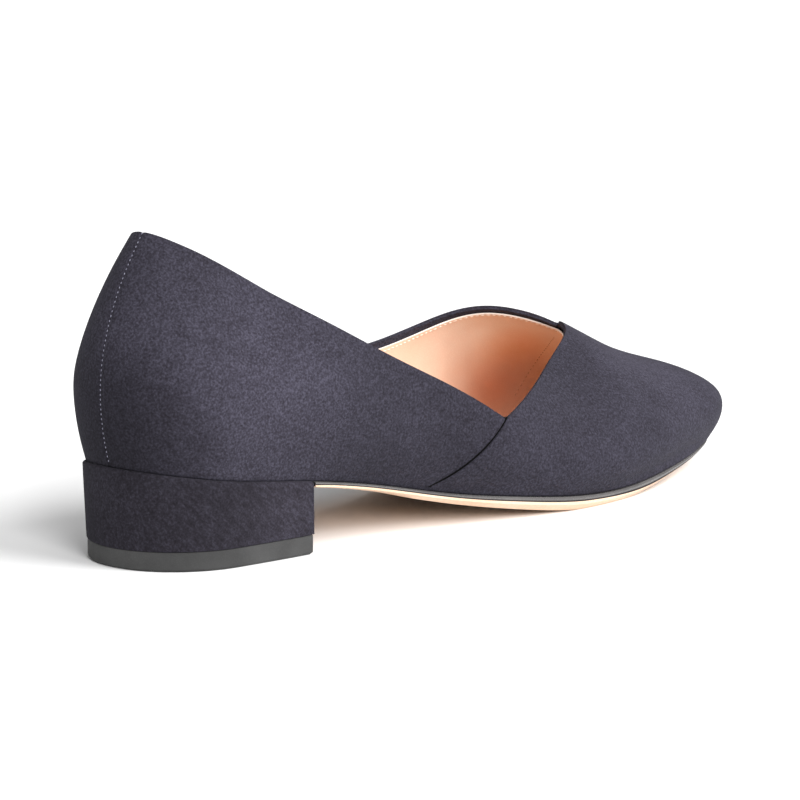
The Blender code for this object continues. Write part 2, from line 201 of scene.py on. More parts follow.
def suedeNapGroup():
    # clouds where the nap was brushed, short strokes along the shoe, and the fibres' own grain
    group, given, result = newGroup(
        "suedeNap",
        [
            ("Vector", "NodeSocketVector", None),
            ("Clouds", "NodeSocketFloat", 45.0),
            ("Strokes", "NodeSocketFloat", 260.0),
            ("Grain", "NodeSocketFloat", 1500.0),
            ("Turn", "NodeSocketVector", (0.3, 0.5, 0.2)),
            ("Brushing", "NodeSocketFloat", 0.2),
        ],
        ["Shade", "Height"],
    )
    place = given.outputs["Vector"]
    clouds = addNode(
        group, "ShaderNodeTexNoise", Vector=place, Scale=given.outputs["Clouds"],
        Detail=3.0, Roughness=0.5, Distortion=0.7,
    ).outputs["Fac"]
    turned = addNode(
        group, "ShaderNodeMapping", {"vector_type": "TEXTURE"}, Vector=place, Rotation=given.outputs["Turn"],
        Scale=(napMix["strokeStretch"], 1.0, 1.0),
    )
    strokes = addNode(
        group, "ShaderNodeTexNoise", Vector=turned.outputs[0], Scale=given.outputs["Strokes"],
        Detail=4.0, Roughness=0.6, Distortion=0.4,
    ).outputs["Fac"]
    grain = addNode(
        group, "ShaderNodeTexNoise", Vector=place, Scale=given.outputs["Grain"], Detail=2.0, Roughness=0.65,
    ).outputs["Fac"]
    softClouds = stretched(group, clouds, *napMix["cloudRange"])
    softStrokes = stretched(group, strokes, *napMix["fineRange"])
    softGrain = stretched(group, grain, *napMix["fineRange"])
    brushing = calc(group, "MULTIPLY", softStrokes, given.outputs["Brushing"])
    fibreShare = calc(group, "SUBTRACT", 1 - napMix["cloudShare"], given.outputs["Brushing"])
    fibres = calc(group, "MULTIPLY", softGrain, fibreShare)
    cloudy = calc(group, "MULTIPLY", softClouds, napMix["cloudShare"])
    shade = calc(group, "ADD", cloudy, calc(group, "ADD", brushing, fibres))
    fibreHeight = calc(group, "MULTIPLY", softGrain, napMix["fibreHeight"])
    strokeHeight = calc(group, "MULTIPLY", softStrokes, napMix["strokeHeight"])
    height = calc(group, "ADD", fibreHeight, strokeHeight)
    group.links.new(shade, result.inputs["Shade"])
    group.links.new(height, result.inputs["Height"])
    return group


def tonePatchGroup():
    # a soft round patch where the colour is made lighter or darker: painted light and painted shade on the
    # suede, the lining and the rubber, and the paint on the sole's bevel
    group, given, result = newGroup(
        "tonePatch",
        [
            ("Vector", "NodeSocketVector", None),
            ("Centre", "NodeSocketVector", (0.0, 0.0, 0.0)),
            ("Reach", "NodeSocketFloat", 0.03),
        ],
        ["Mask"],
    )
    apart = addNode(group, "ShaderNodeVectorMath", {"operation": "DISTANCE"})
    group.links.new(given.outputs["Vector"], apart.inputs[0])
    group.links.new(given.outputs["Centre"], apart.inputs[1])
    share = calc(group, "DIVIDE", apart.outputs["Value"], given.outputs["Reach"])
    fade = addNode(group, "ShaderNodeMapRange", {"interpolation_type": "SMOOTHSTEP"}, Value=share)
    fade.inputs["To Min"].default_value = 1.0
    fade.inputs["To Max"].default_value = 0.0
    group.links.new(fade.outputs[0], result.inputs["Mask"])
    return group


grainMix = {
    "plateRange": (0.0, 0.25), "toneRange": (0.3, 0.7),
    "plateHeight": 0.6, "bendHeight": 0.4, "toneShade": 0.75, "plateShade": 0.25,
    "stops": (0.1, 0.9),        # where the dark and the light colour stand
    "rougher": 0.08, "smoother": 0.05,        # how far the roughness goes up and down with the shade
    "coatRoughness": 0.25,
}


def leatherGrainGroup():
    # small plates between pores, with a slow change of tone
    group, given, result = newGroup(
        "leatherGrain",
        [
            ("Vector", "NodeSocketVector", None),
            ("Pores", "NodeSocketFloat", 1100.0),
            ("Tone", "NodeSocketFloat", 60.0),
        ],
        ["Shade", "Height"],
    )
    place = given.outputs["Vector"]
    bent = addNode(
        group, "ShaderNodeTexNoise", Vector=place, Scale=given.outputs["Pores"], Detail=2.0,
    ).outputs["Fac"]
    plates = addNode(
        group, "ShaderNodeTexVoronoi", {"feature": "DISTANCE_TO_EDGE"}, Vector=place,
        Scale=given.outputs["Pores"],
    ).outputs["Distance"]
    tone = addNode(
        group, "ShaderNodeTexNoise", Vector=place, Scale=given.outputs["Tone"], Detail=4.0, Roughness=0.55,
    ).outputs["Fac"]
    flat = stretched(group, plates, *grainMix["plateRange"])
    softTone = stretched(group, tone, *grainMix["toneRange"])
    plateHeight = calc(group, "MULTIPLY", flat, grainMix["plateHeight"])
    height = calc(group, "ADD", plateHeight, calc(group, "MULTIPLY", bent, grainMix["bendHeight"]))
    toneShade = calc(group, "MULTIPLY", softTone, grainMix["toneShade"])
    shade = calc(group, "ADD", toneShade, calc(group, "MULTIPLY", flat, grainMix["plateShade"]))
    group.links.new(shade, result.inputs["Shade"])
    group.links.new(height, result.inputs["Height"])
    return group


def addBump(tree, shader, height, strength, distance):
    made = addNode(tree, "ShaderNodeBump", Height=height)
    made.inputs["Strength"].default_value = strength
    made.inputs["Distance"].default_value = distance * mm
    tree.links.new(made.outputs["Normal"], shader.inputs["Normal"])


def placeGroup(tree, group, **values):
    coordinates = tree.nodes.new("ShaderNodeTexCoord")
    made = tree.nodes.new("ShaderNodeGroup")
    made.node_tree = group
    tree.links.new(coordinates.outputs["Object"], made.inputs["Vector"])
    for label, value in values.items():
        made.inputs[label].default_value = value
    return made


def suedeMaterial(name, look):
    material, tree, shader = newMaterial(name)
    nap = placeGroup(
        tree, suedeNap, Clouds=look["clouds"], Strokes=look["strokes"], Grain=look["grain"],
        Turn=look["turn"], Brushing=look["brushing"],
    )
    stops = list(zip(napMix["stops"], (look["deep"], look["body"], look["brushed"])))
    colour = ramp(tree, nap.outputs["Shade"], stops)
    tone = None
    for place, reach, change in look["patches"]:
        patch = placeGroup(tree, tonePatch, Centre=[q * mm for q in place], Reach=reach * mm)
        step = calc(tree, "ADD", calc(tree, "MULTIPLY", patch.outputs["Mask"], change), 1.0)
        tone = step if tone is None else calc(tree, "MULTIPLY", tone, step)
    if tone is not None:
        toned = addNode(tree, "ShaderNodeVectorMath", {"operation": "SCALE"}, Scale=tone)
        tree.links.new(colour, toned.inputs[0])
        colour = toned.outputs[0]
    tree.links.new(colour, shader.inputs["Base Color"])
    shader.inputs["Roughness"].default_value = look["roughness"]
    shader.inputs["Specular IOR Level"].default_value = look["specular"]
    shader.inputs["Sheen Weight"].default_value = look["sheen"]
    shader.inputs["Sheen Roughness"].default_value = look["sheenRoughness"]
    shader.inputs["Sheen Tint"].default_value = (*look["sheenTint"], 1.0)
    addBump(tree, shader, nap.outputs["Height"], look["bump"], look["bumpDepth"])
    return material


def leatherMaterial(name, look):
    material, tree, shader = newMaterial(name)
    grain = placeGroup(tree, leatherGrain, Pores=look["pores"], Tone=look["tone"])
    stops = list(zip(grainMix["stops"], (look["dark"], look["light"])))
    colour = ramp(tree, grain.outputs["Shade"], stops)
    for place, reach, tint in look.get("patches", []):
        patch = placeGroup(tree, tonePatch, Centre=[q * mm for q in place], Reach=reach * mm)
        mixed = addNode(tree, "ShaderNodeMix", {"data_type": "RGBA", "blend_type": "MULTIPLY"})
        tree.links.new(patch.outputs["Mask"], mixed.inputs[0])
        tree.links.new(colour, mixed.inputs[6])        # the first colour, then the second
        mixed.inputs[7].default_value = (*tint, 1.0)
        colour = mixed.outputs[2]
    tree.links.new(colour, shader.inputs["Base Color"])
    rough = addNode(tree, "ShaderNodeMapRange", Value=grain.outputs["Shade"])
    rough.inputs["To Min"].default_value = look["roughness"] + grainMix["rougher"]
    rough.inputs["To Max"].default_value = look["roughness"] - grainMix["smoother"]
    tree.links.new(rough.outputs[0], shader.inputs["Roughness"])
    shader.inputs["Specular IOR Level"].default_value = look["specular"]
    shader.inputs["Coat Weight"].default_value = look["coat"]
    shader.inputs["Coat Roughness"].default_value = grainMix["coatRoughness"]
    addBump(tree, shader, grain.outputs["Height"], look["bump"], look["bumpDepth"])
    return material


upperSuedeLook = {
    "clouds": 30.0, "strokes": 300.0, "grain": 1500.0, "turn": (0.3, 0.5, 0.2), "brushing": 0.14,
    "deep": (0.0142, 0.0122, 0.0172), "body": (0.0265, 0.0243, 0.0342), "brushed": (0.0450, 0.0420, 0.0590),
    "roughness": 0.95, "specular": 0.12, "bump": 0.6, "bumpDepth": 0.18,
    "sheen": 0.04, "sheenRoughness": 0.55, "sheenTint": (0.62, 0.62, 0.74),
    "patches": [
        ((-85, -28, 52), 45, 0.52),        # painted light at the quarter's middle and on the vamp, partly brushed nap
        ((80, -6, 36), 45, 0.62),
        ((-121, -5, 66), 16, 0.28),        # painted light beside the back seam
        ((-122, 0, 32), 40, -0.50),        # painted shade low at the back and above the waist
        ((-50, -28, 20), 24, -0.20),
        ((-18, -32, 18), 24, -0.18),
    ],
}
heelSuedeLook = {
    "clouds": 60.0, "strokes": 1100.0, "grain": 1700.0, "turn": (0.0, 0.7, 0.0), "brushing": 0.44,
    "deep": (0.0080, 0.0066, 0.0090), "body": (0.0170, 0.0150, 0.0205), "brushed": (0.0330, 0.0305, 0.0420),
    "roughness": 0.95, "specular": 0.12, "bump": 0.6, "bumpDepth": 0.16,
    "sheen": 0.04, "sheenRoughness": 0.55, "sheenTint": (0.60, 0.60, 0.72),
    # painted light on the heel's lateral side, towards the breast
    "patches": [((-76, -28, 16), 26, 0.55)],
}
# near-black suede in the slit under the vamp's edge and on the quarter's strip before it: painted shade, the
# lap's shadow line
lapPaintedShadeLook = dict(
    upperSuedeLook, deep=(0.001, 0.001, 0.001), body=(0.002, 0.002, 0.002), brushed=(0.004, 0.004, 0.004),
    sheen=0.0, patches=[],
)
liningLook = {
    "pores": 1300.0, "tone": 55.0, "dark": (0.88, 0.60, 0.44), "light": (0.94, 0.71, 0.55),
    "roughness": 0.42, "specular": 0.40, "coat": 0.60, "bump": 0.25, "bumpDepth": 0.06,
    "patches": [        # painted shade, darker down towards the toe under the vamp; a painted highlight, pale below the collar
        ((70, 42, 22), 28, (0.52, 0.24, 0.15)), ((66, 24, 30), 19, (0.90, 0.55, 0.30)),
        ((50, 28, 47), 21, (1.07, 1.20, 1.28)),
    ],
}
# the lining's cut edge: paler raw leather, lightened further as a painted highlight
liningEdgeRawAndHighlightLook = {
    "pores": 1300.0, "tone": 55.0, "dark": (0.90, 0.77, 0.68), "light": (0.96, 0.86, 0.79),
    "roughness": 0.50, "specular": 0.35, "coat": 0.0, "bump": 0.15, "bumpDepth": 0.04,
}
sockLook = {
    "pores": 1100.0, "tone": 38.0, "dark": (0.84, 0.51, 0.34), "light": (0.90, 0.61, 0.43),
    "roughness": 0.48, "specular": 0.36, "coat": 0.04, "bump": 0.30, "bumpDepth": 0.07,
}
soleLook = {
    "pores": 700.0, "tone": 30.0, "dark": (0.74, 0.50, 0.34), "light": (0.86, 0.63, 0.46),
    "roughness": 0.40, "specular": 0.40, "coat": 0.10, "bump": 0.22, "bumpDepth": 0.06,
}
soleBevelLook = dict(        # the paint runs down over it at the toe
    soleLook, patches=[((110, -6, 5), 74, (0.05, 0.05, 0.06))],
)
# the edge paint on the rim and the standing edge's upper row: dark paint, lightened to grey as a painted
# highlight
soleEdgePaintAndHighlightLook = {
    "pores": 600.0, "tone": 90.0, "dark": (0.060, 0.056, 0.056), "light": (0.110, 0.104, 0.102),
    "roughness": 0.26, "specular": 0.55, "coat": 0.55, "bump": 0.10, "bumpDepth": 0.04,
}
soleLineLook = {
    "pores": 600.0, "tone": 90.0, "dark": (0.010, 0.008, 0.009), "light": (0.022, 0.019, 0.019),
    "roughness": 0.55, "specular": 0.25, "coat": 0.0, "bump": 0.10, "bumpDepth": 0.04,
}
rubberLook = {
    "pores": 1500.0, "tone": 110.0, "dark": (0.040, 0.040, 0.040), "light": (0.058, 0.058, 0.058),
    "roughness": 0.62, "specular": 0.30, "coat": 0.0, "bump": 0.20, "bumpDepth": 0.05,
    # painted shade on the top piece's lateral side, towards the back
    "patches": [((-108, -22, 3), 24, (0.60, 0.60, 0.60))],
}
backThreadLook = {
    "pores": 4000.0, "tone": 900.0, "dark": (0.15, 0.15, 0.20), "light": (0.26, 0.26, 0.33),
    "roughness": 0.60, "specular": 0.30, "coat": 0.0, "bump": 0.2, "bumpDepth": 0.02,
}
collarThreadLook = dict(
    backThreadLook, dark=(0.84, 0.70, 0.58), light=(0.93, 0.82, 0.72), roughness=0.55, specular=0.35,
)
liningThreadLook = dict(backThreadLook, dark=(0.40, 0.20, 0.12), light=(0.52, 0.28, 0.18))

suedeNap = suedeNapGroup()
tonePatch = tonePatchGroup()
leatherGrain = leatherGrainGroup()
upperSuede = suedeMaterial("navySuede", upperSuedeLook)
lapPaintedShade = suedeMaterial("lapSlitPaintedShade", lapPaintedShadeLook)
heelSuede = suedeMaterial("heelCoverSuede", heelSuedeLook)
liningLeather = leatherMaterial("liningLeather", liningLook)
liningEdgeRawAndHighlight = leatherMaterial("liningRawEdgeAndPaintedHighlight", liningEdgeRawAndHighlightLook)
sockLeather = leatherMaterial("sockLeather", sockLook)
soleLeather = leatherMaterial("soleLeather", soleLook)
soleBevel = leatherMaterial("soleBevelLeather", soleBevelLook)
soleEdgePaintAndHighlight = leatherMaterial("soleEdgePaintAndHighlight", soleEdgePaintAndHighlightLook)
soleLine = leatherMaterial("soleBurnishedLine", soleLineLook)
topPieceRubber = leatherMaterial("topPieceRubber", rubberLook)
backThread = leatherMaterial("backThread", backThreadLook)
collarThread = leatherMaterial("collarThread", collarThreadLook)
liningThread = leatherMaterial("liningThread", liningThreadLook)
print("materials made")


# upper

upperForm = {
    "levels": 2,
    "lapReach": 1.3 * mm,          # columns closer than this at the collar are the two sides of a lap
    "lapSlit": 0.24 * mm,
    "slitShare": 0.7,              # the most of a low step that the slit takes
    "lapLeast": 0.1 * mm,          # the step counts as no lower than this
    "lapUnder": 1.4 * mm,          # how far the quarter runs on under the vamp
    "lapOpenRows": 6,              # reached over these first rows
    "lapShade": 0.70 * mm,         # the quarter is painted with shade from here to the vamp's edge
    "lapFadeRows": 3,              # and less so over these last rows
    "lapBack": 0.8,                # share of the step by which the vamp's edge reaches back over the quarter
    "lapSink": 0.05 * mm,
    "lapStart": 3,                 # the first row below the rounded lip
    "lapCrease": 0.6,
    "quarterCrease": 1.0,
    "lapDrop": 0.5 * mm,           # how far the vamp's corner falls below the collar
    "featherCrease": 0.85,
    "foldWall": 1.3 * mm,          # the vamp's edge is folded thinner than its wall
    "lipHold": 0.5 * mm,
    "lipGroove": 0.45 * mm,
    "seamHalfWidth": 0.5 * mm,
    "seamDepth": 0.40 * mm,
}
upperCreases = [
    {"start": (-66, -24, 66), "end": (-50, -27, 24), "width": 9, "depth": 0.35},    # heel stiffener's front
    {"start": (-66, 22, 66), "end": (-50, 25, 24), "width": 9, "depth": 0.35},
    {"start": (-38, -30, 48), "end": (-22, -32, 20), "width": 8, "depth": -0.25},
    {"start": (2, -37, 28), "end": (34, -41, 13), "width": 7, "depth": 0.30},       # pull from the lap
    {"start": (46, -38, 22), "end": (64, -8, 42), "width": 7, "depth": 0.30},       # where the ball bends
    {"start": (66, 4, 43), "end": (60, 34, 26), "width": 7, "depth": 0.28},
    {"start": (60, -34, 20), "end": (76, -4, 37), "width": 6, "depth": -0.20},
]
toeForm = {
    "drop": 1.0 * mm,        # towards the toe the wall's corner and the sole's rim come lower
    "dropFrom": 26 * mm,
    "dropTo": 96 * mm,
    "wallFull": 1.5 * mm,    # and both stand fuller
    "soleFull": 0.8 * mm,
    "fullTo": 76 * mm,
    "tipFrom": 88 * mm,      # between these the fullness runs out
    "tipTo": 110 * mm,
    "tuck": 1.9 * mm,        # at the tip both end further back
    "tuckFrom": 84 * mm,
    "tuckTo": 118 * mm,
}


def shareBetween(value, start, end):
    return min(max((value - start) / (end - start), 0.0), 1.0)


def softStep(value, start, end):
    share = shareBetween(value, start, end)
    return share * share * (3 - 2 * share)


def toeDrop(x):
    return toeForm["drop"] * softStep(x, toeForm["dropFrom"], toeForm["dropTo"])


def toeFull(x):
    beforeTip = 1 - softStep(x, toeForm["tipFrom"], toeForm["tipTo"])
    return softStep(x, toeForm["dropFrom"], toeForm["fullTo"]) * beforeTip


def toeTuck(x):
    return toeForm["tuck"] * softStep(x, toeForm["tuckFrom"], toeForm["tuckTo"])


def splitEdges(bm):
    # the wall is a grid bent into a ring, cut into triangles: the edges that run round the shoe are
    # followed from the collar's sharp edge, and in each strip the longer of the others are the cuts
    top = max(bm.verts, key=lambda v: v.co.z)
    lead = max(top.link_edges, key=lambda e: e.calc_face_angle())
    level = {face: lead for face in lead.link_faces}
    todo = list(level)
    while todo:
        face = todo.pop()
        for edge in face.edges:
            for other in edge.link_faces:
                if other in level:
                    continue
                level[other] = edge
                if edge is not level[face]:
                    end = next(v for v in edge.verts if v not in level[face].verts)
                    level[other] = next(e for e in other.edges if e is not edge and end in e.verts)
                todo.append(other)
    cuts = []
    seen = set()
    for face in bm.faces:
        strip = []
        edge = next(e for e in face.edges if e is not level[face])
        while face not in seen:
            seen.add(face)
            strip.append(edge)
            face = next(f for f in edge.link_faces if f is not face)
            edge = next(e for e in face.edges if e is not edge and e is not level[face])
        cuts += max((strip[0::2], strip[1::2]), key=lambda edges: sum(e.calc_length() for e in edges))
    return cuts


def loopFrom(vert, edge):
    # straight on along a grid line until it comes back
    loop = [vert]
    while True:
        vert = edge.other_vert(vert)
        if vert is loop[0]:
            return loop
        loop.append(vert)
        edge = next(e for e in vert.link_edges if not set(e.link_faces) & set(edge.link_faces))


def wallGrid(bm):
    # columns[c][r]: c goes round the shoe from the back seam, r goes from the collar's outer edge
    # down the outside, under the foot and up the lining side to the collar's inner edge
    start = max(bm.verts, key=lambda v: v.co.z)
    loops = [loopFrom(start, edge) for edge in start.link_edges]
    crossing = min(loops, key=len)
    rings = [max((loopFrom(v, e) for e in v.link_edges), key=len) for v in crossing]
    heights = [sum(v.co.z for v in r) / len(r) for r in rings]
    top, second = sorted(range(len(rings)), key=lambda i: -heights[i])[:2]
    reach = [sum(abs(v.co.y) for v in rings[i]) for i in (top, second)]
    outer, inner = (top, second) if reach[0] > reach[1] else (second, top)
    innerVerts = set(rings[inner])
    outerVerts = set(rings[outer])
    columns = []
    for vert in rings[outer]:
        down = next(
            e for e in vert.link_edges
            if e.other_vert(vert) not in innerVerts and e.other_vert(vert) not in outerVerts
        )
        columns.append(loopFrom(vert, down))
    back = min(range(len(columns)), key=lambda c: min(v.co.x for v in columns[c]))
    return columns[back:] + columns[:back]


def fourSidedWall():
    bm = weldedCopy("upper")
    bmesh.ops.dissolve_edges(bm, edges=splitEdges(bm), use_verts=False, use_face_split=False)
    bm.normal_update()
    return bm


def edgeBetween(first, second):
    return next(e for e in first.link_edges if e.other_vert(first) is second)


def cutBetween(bm, first, second):
    # a new line of the grid, halfway between two neighbours
    made = [bmesh.utils.edge_split(edgeBetween(a, b), a, 0.5)[1] for a, b in zip(first, second)]
    bmesh.ops.connect_verts(bm, verts=made)
    return made


def shapeLips(bm, columns, form):
    # two folded layers meet on the collar, with a fine groove between them
    rows = list(zip(*columns))
    for outer, inner in zip(rows[0], rows[-1]):
        across = inner.co - outer.co
        inner.co = outer.co + across.normalized() * min(across.length, form["foldWall"])
    outerHold = cutBetween(bm, rows[0], rows[1])
    innerHold = cutBetween(bm, rows[-1], rows[-2])
    groove = cutBetween(bm, rows[0], rows[-1])
    for outer, below, inner, under, middle in zip(rows[0], outerHold, rows[-1], innerHold, groove):
        outerDown = (below.co - outer.co).normalized()
        innerDown = (under.co - inner.co).normalized()
        below.co = outer.co + outerDown * form["lipHold"]
        under.co = inner.co + innerDown * form["lipHold"]
        middle.co += (outerDown + innerDown).normalized() * form["lipGroove"]
    for column, below, under, middle in zip(columns, outerHold, innerHold, groove):
        column.insert(1, below)
        column.insert(len(column) - 1, under)
        column.append(middle)


def bendAt(column, r):
    return (column[r].co - column[r - 1].co).angle(column[r + 1].co - column[r].co)


def holdFeather(columns, outerRows, crease, form):
    # the corner where the wall turns in under the foot stays tight, and at the toe it is lower and fuller
    rows = range(outerRows // 2, outerRows)
    feather = max(rows, key=lambda r: sum(bendAt(column, r) for column in columns))
    for column, after in zip(columns, columns[1:] + columns[:1]):
        edgeBetween(column[feather], after[feather])[crease] = form["featherCrease"]
        corner, turnedIn = column[feather:feather + 2]
        aside = (corner.co - turnedIn.co) * Vector((1, 1, 0))
        corner.co += aside.normalized() * toeForm["wallFull"] * toeFull(corner.co.x)
        for vert in (corner, turnedIn):
            vert.co.z -= toeDrop(vert.co.x)
            vert.co.x -= toeTuck(vert.co.x)
    print("feather edge on row", feather)


def cutBackSeam(bm, columns, outerRows, form):
    seam = columns[0]
    sides = []
    for neighbour in (columns[1], columns[-1]):
        line = cutBetween(bm, seam, neighbour)
        for vert, start in zip(line, seam):
            vert.co = start.co + (vert.co - start.co).normalized() * form["seamHalfWidth"]
        sides.append(line)
    for vert in seam[:outerRows]:
        vert.co -= vert.normal * form["seamDepth"]
    columns.insert(1, sides[0])
    columns.append(sides[1])


def foldLap(bm, before, quarter, vamp, outerRows, crease, form):
    # the quarter runs on under the vamp, whose cut edge stands free above it
    middle = cutBetween(bm, quarter, vamp)
    deep = cutBetween(bm, quarter, middle)
    under = cutBetween(bm, middle, vamp)
    for r in range(outerRows):
        foot = quarter[r].co.copy()
        outwards = before[max(r, form["lapStart"])].normal
        reach = form["lapUnder"] * min(1.0, (r + 1) / form["lapOpenRows"])
        step = vamp[r].co - foot
        height = max(step.dot(outwards), form["lapLeast"])
        level = step - outwards * step.dot(outwards)
        ahead = level.normalized()
        slit = outwards * min(form["lapSlit"], height * form["slitShare"])
        sunk = outwards * form["lapSink"]
        edge = foot + level * (1 - form["lapBack"])
        shade = form["lapShade"] * min(1.0, (outerRows - r) / form["lapFadeRows"])
        quarter[r].co = edge - ahead * shade - sunk
        deep[r].co = edge + ahead * reach - sunk
        middle[r].co = edge + ahead * reach + slit
        under[r].co = edge + slit
        vamp[r].co -= level * form["lapBack"]
        if r:
            edgeBetween(quarter[r - 1], quarter[r])[crease] = form["quarterCrease"]
        if r >= form["lapStart"]:
            edgeBetween(under[r - 1], under[r])[crease] = form["lapCrease"]
            edgeBetween(vamp[r - 1], vamp[r])[crease] = form["lapCrease"]
    drop = (vamp[2].co - vamp[0].co).normalized() * form["lapDrop"]
    for line in (under, vamp):
        line[0].co += drop
        line[1].co += drop / 2
    # the slit and the quarter's strip before the vamp's edge take the near-black suede: painted shade
    inSlit = {v for line in (quarter, deep, middle, under) for v in line[:outerRows - 1]}
    for face in {f for v in inSlit for f in v.link_faces}:
        if inSlit.issuperset(face.verts):
            face.material_index = 1


def makeUpper():
    bm = fourSidedWall()
    crease = bm.edges.layers.float.new("crease_edge")
    columns = wallGrid(bm)
    plain = [[v.co.copy() for v in column] for column in columns]
    outerRows = len(columns[0]) // 2        # the outside down to the feather corner, with the lip's own row
    count = len(columns)
    laps = []
    for c in range(count):
        apart = (columns[c][0].co - columns[(c + 1) % count][0].co).length
        if apart < upperForm["lapReach"]:
            laps.append((c, (c + 1) % count))
    shapeLips(bm, columns, upperForm)
    holdFeather(columns, outerRows, crease, upperForm)
    bm.normal_update()
    for first, second in laps:
        across = columns[second][outerRows // 2].co - columns[first][outerRows // 2].co
        if across.dot(columns[first][outerRows // 2].normal) > 0:
            before, quarter, vamp = columns[first - 1], columns[first], columns[second]
        else:
            before, quarter, vamp = columns[(second + 1) % count], columns[second], columns[first]
        foldLap(bm, before, quarter, vamp, outerRows, crease, upperForm)
    cutBackSeam(bm, columns, outerRows, upperForm)
    print("upper", len(bm.faces), "faces,", len(laps), "laps")
    piece = addPiece("upper_suede", bm, [upperSuede, lapPaintedShade], upperForm["levels"], ["upper"])
    applyModifiers(piece)
    return piece, plain


upper, wall = makeUpper()


# lining

liningForm = {
    "levels": 2, "below": 2.1 * mm, "thickness": 0.55 * mm, "sharpest": 0.9, "edgeRadius": 0.12 * mm,
    "lastRow": 17,        # the inside of the feather edge, counted from the collar's outer edge
}


def placeKey(vert):
    return tuple(round(q, placeDigits) for q in vert.co)


def makeLining():
    form = liningForm
    bm = fourSidedWall()
    columns = wallGrid(bm)
    kept = {v for column in columns for v in column[form["lastRow"]:]}
    unused = [v for v in bm.verts if v not in kept]
    for column in columns:
        column[-1].co += (column[-2].co - column[-1].co).normalized() * form["below"]
    bmesh.ops.delete(bm, geom=unused, context="VERTS")
    bm.normal_update()
    normals = {placeKey(v): v.normal.copy() for v in bm.verts}
    edgeLine = []
    for column in columns:
        down = (column[-2].co - column[-1].co).normalized()
        edgeLine.append((column[-1].co.copy(), down))
    made = bmesh.ops.extrude_face_region(bm, geom=list(bm.faces), use_keep_orig=True)
    raised = {g for g in made["geom"] if isinstance(g, bmesh.types.BMVert)}
    for vert in raised:
        vert.co += normals[placeKey(vert)] * form["thickness"]
    for face in bm.faces:
        above = raised.intersection(face.verts)
        face.material_index = 1 if 0 < len(above) < len(face.verts) else 0        # the cut edge is paler: raw leather, with a painted highlight
    bmesh.ops.recalc_face_normals(bm, faces=bm.faces)
    roundEdges(bm, form["sharpest"], form["edgeRadius"])
    piece = addPiece("lining", bm, [liningLeather, liningEdgeRawAndHighlight], form["levels"])
    applyModifiers(piece)
    return piece, edgeLine


lining, liningEdge = makeLining()
outside = surfaceOf(upper)
pressCreases(upper, upperCreases, outside)
pressCreases(lining, upperCreases, outside)
print("lining made and creases pressed in")


# stitches

backStitches = {"pitch": 1.35, "length": 0.62, "width": 0.30, "height": 0.28, "lift": 0.04}
collarStitches = {"pitch": 1.7, "length": 1.15, "width": 0.36, "height": 0.30, "lift": 0.05, "below": 1.1}
seamStitches = {"pitch": 1.6, "length": 0.95, "width": 0.30, "height": 0.26, "lift": 0.02}
insideView = {"ahead": 0.8, "below": 15 * mm}        # from where the inside is looked at
liningSeam = {        # a curve on the medial side, from below the throat to the feather edge, in mm
    "start": (70, 12, 41), "startHandle": (78, 23, 37), "endHandle": (82, 32, 28), "end": (77, 36, 19),
    "steps": 16,
}


def evenPlaces(line, pitch):
    # points at an even pitch along a line of points
    lengths = [0.0]
    for a, b in zip(line, line[1:]):
        lengths.append(lengths[-1] + (b - a).length)
    count = int(lengths[-1] / pitch)
    places = []
    k = 0
    for i in range(count):
        reach = (i + 0.5) * pitch
        while lengths[k + 1] < reach:
            k += 1
        share = (reach - lengths[k]) / (lengths[k + 1] - lengths[k])
        places.append((line[k].lerp(line[k + 1], share), (line[k + 1] - line[k]).normalized()))
    return places


def onOutside(surface, place):
    return surface.find_nearest(place)[:2]


def onInside(surface, place):
    # seen from the middle of the shoe, so that the lining's inner face is met first
    middle = Vector((place.x * insideView["ahead"], 0.0, place.z - insideView["below"]))
    return surface.ray_cast(middle, place - middle)[:2]


def makeStitches(name, line, form, find, surface, material):
    bm = bmesh.new()
    for place, along in evenPlaces(line, form["pitch"] * mm):
        spot, normal = find(surface, place)
        side = normal.cross(along).normalized()
        ahead = side.cross(normal).normalized()
        turn = Matrix((ahead, side, normal)).transposed().to_4x4()
        size = Matrix.Diagonal((form["length"] * mm, form["width"] * mm, form["height"] * mm, 1.0))
        middle = Matrix.Translation(spot + normal * form["lift"] * mm)
        bmesh.ops.create_uvsphere(bm, u_segments=8, v_segments=6, radius=0.5, matrix=middle @ turn @ size)
    return addPiece(name, bm, [material])


outside = surfaceOf(upper)
inside = surfaceOf(lining)
backLine = wall[0][:len(wall[0]) // 2 - 1]
makeStitches("back_seam_stitches", backLine, backStitches, onOutside, outside, backThread)
collarLine = [place + down * collarStitches["below"] * mm for place, down in liningEdge]
collarLine.append(collarLine[0])
makeStitches("collar_stitches", collarLine, collarStitches, onInside, inside, collarThread)
seamPoints = [Vector(liningSeam[key]) * mm for key in ("start", "startHandle", "endHandle", "end")]
seamLine = interpolate_bezier(*seamPoints, liningSeam["steps"])
makeStitches("lining_seam_stitches", seamLine, seamStitches, onInside, inside, liningThread)
print("stitches made")


# heel, top piece, outsole, insole

